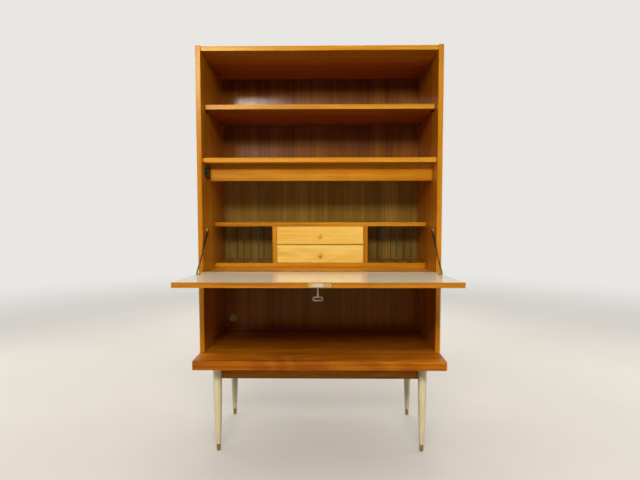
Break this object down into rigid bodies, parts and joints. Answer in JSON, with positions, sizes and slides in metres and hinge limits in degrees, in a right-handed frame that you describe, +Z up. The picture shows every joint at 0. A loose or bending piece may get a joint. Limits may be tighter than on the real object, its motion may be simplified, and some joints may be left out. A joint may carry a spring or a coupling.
{
  "type": "secretary desk",
  "caption": "Tall veneered secretary with open shelves, a hinged drop flap as writing surface on folding stays, small drawers, pigeonholes, a low niche and round tapered legs.",
  "frame": {"origin": "on the floor, at the centre of the bounding box with the flap open", "axes": "+Z up, the open front faces -Y, +X to the right of a person facing the desk"},
  "size_m": [1, 0.8318, 1.682],
  "materials": {
    "honey_veneer": "satin lacquered honey-coloured cherry veneer",
    "dark_back_veneer": "lacquered dark brown veneer with fine vertical grain",
    "olive_back_veneer": "lacquered olive-tan veneer with fine vertical lines",
    "maple": "satin lacquered light maple",
    "ivory_laminate": "glossy ivory laminate",
    "ivory_paint": "ivory lacquer on turned wood",
    "brass": "worn brass",
    "steel": "dull steel",
    "glass": "clear glass with green edges",
    "black_plastic": "black moulded plastic",
    "lamp_white": "white enamel and opal tube"
  },
  "bodies": {
    "case": {"adjustable_shelf": "honey_veneer", "apron_frame": "honey_veneer", "base_slab": "honey_veneer", "drawer_runner": "honey_veneer", "ferrule_front_left": "brass", "ferrule_front_right": "brass", "ferrule_rear_left": "brass", "ferrule_rear_right": "brass", "fixed_shelf": "honey_veneer", "glass_divider_1": "glass", "glass_divider_2": "glass", "glass_divider_3": "glass", "glass_divider_4": "glass", "glass_divider_5": "glass", "glass_divider_6": "glass", "hatch_back_panel": "olive_back_veneer", "hatch_floor": "honey_veneer", "hinge_leaf_case": "brass", "insert_base": "honey_veneer", "insert_divider_left": "honey_veneer", "insert_divider_right": "honey_veneer", "insert_shelf": "honey_veneer", "leg_front_left": "ivory_paint", "leg_front_right": "ivory_paint", "leg_rear_left": "ivory_paint", "leg_rear_right": "ivory_paint", "niche_back_panel": "dark_back_veneer", "pelmet_rail": "honey_veneer", "shelf_pin_front_left": "black_plastic", "shelf_pin_front_right": "black_plastic", "shelf_pin_rear_left": "black_plastic", "shelf_pin_rear_right": "black_plastic", "side_panel_left": "honey_veneer", "side_panel_right": "honey_veneer", "stay_bracket_left": "steel", "stay_bracket_right": "steel", "strike_plate": "brass", "strip_lamp": "lamp_white", "switch_housing": "black_plastic", "top_board": "honey_veneer", "upper_back_panel": "dark_back_veneer"},
    "flap": {"flap_board": "honey_veneer", "writing_surface": "ivory_laminate", "lock_case": "brass", "hinge_leaf_flap": "brass", "stay_foot_left": "steel", "stay_foot_right": "steel"},
    "upper_drawer": {"drawer_upper_front": "maple", "drawer_upper_box": "maple", "drawer_upper_knob": "maple"},
    "lower_drawer": {"drawer_lower_front": "maple", "drawer_lower_box": "maple", "drawer_lower_knob": "maple"},
    "flap_key": {"key": "steel"},
    "bolt": {"lock_bolt": "brass"},
    "plunger": {"switch_plunger": "black_plastic"},
    "upper_link_left": {"stay_upper_left": "steel"},
    "upper_link_right": {"stay_upper_right": "steel"},
    "lower_link_left": {"stay_lower_left": "steel"},
    "lower_link_right": {"stay_lower_right": "steel"}
  },
  "joints": [
    {"name": "flap_hinge", "type": "hinge", "parent": "case", "child": "flap", "pos_m": [0, 0.03593, 0.762], "axis": [-1, 0, 0], "range_deg": [0, 87.45]},
    {"name": "drawer_upper_slide", "type": "slide", "parent": "case", "child": "upper_drawer", "axis": [0, -1, 0], "range_m": [0, 0.14]},
    {"name": "drawer_lower_slide", "type": "slide", "parent": "case", "child": "lower_drawer", "axis": [0, -1, 0], "range_m": [0, 0.14]},
    {"name": "key_turn", "type": "hinge", "parent": "flap", "child": "flap_key", "pos_m": [0, -0.39248, 0.75105], "axis": [0, 0.0445, 0.999], "range_deg": [0, 180]},
    {"name": "bolt_slide", "type": "slide", "parent": "flap", "child": "bolt", "axis": [0, -0.999, 0.0445], "range_m": [0, 0.008]},
    {"name": "switch_plunger_slide", "type": "slide", "parent": "case", "child": "plunger", "axis": [0, 1, 0], "range_m": [0, 0.0074]},
    {"name": "stay_upper_left_pivot", "type": "hinge", "parent": "case", "child": "upper_link_left", "pos_m": [-0.4761, 0.06593, 0.9295], "axis": [-1, 0, 0], "range_deg": [-70.72, 0]},
    {"name": "stay_lower_left_pivot", "type": "hinge", "parent": "flap", "child": "lower_link_left", "pos_m": [-0.4733, -0.1286, 0.77633], "axis": [-1, 0, 0], "range_deg": [0, 8.41]},
    {"name": "stay_upper_right_pivot", "type": "hinge", "parent": "case", "child": "upper_link_right", "pos_m": [0.4761, 0.06593, 0.9295], "axis": [-1, 0, 0], "range_deg": [-70.72, 0]},
    {"name": "stay_lower_right_pivot", "type": "hinge", "parent": "flap", "child": "lower_link_right", "pos_m": [0.4733, -0.1286, 0.77633], "axis": [-1, 0, 0], "range_deg": [0, 8.41]}
  ],
  "couplings": [
    {"joint": "bolt_slide", "follows": "key_turn", "m_per_rad": 0.0025465},
    {"joint": "switch_plunger_slide", "follows": "flap_hinge", "m_per_rad": 0.0048484},
    {"joint": "stay_upper_left_pivot", "follows": "flap_hinge", "ratio": -0.80866},
    {"joint": "stay_lower_left_pivot", "follows": "flap_hinge", "ratio": 0.096181},
    {"joint": "stay_upper_right_pivot", "follows": "flap_hinge", "ratio": -0.80866},
    {"joint": "stay_lower_right_pivot", "follows": "flap_hinge", "ratio": 0.096181}
  ]
}
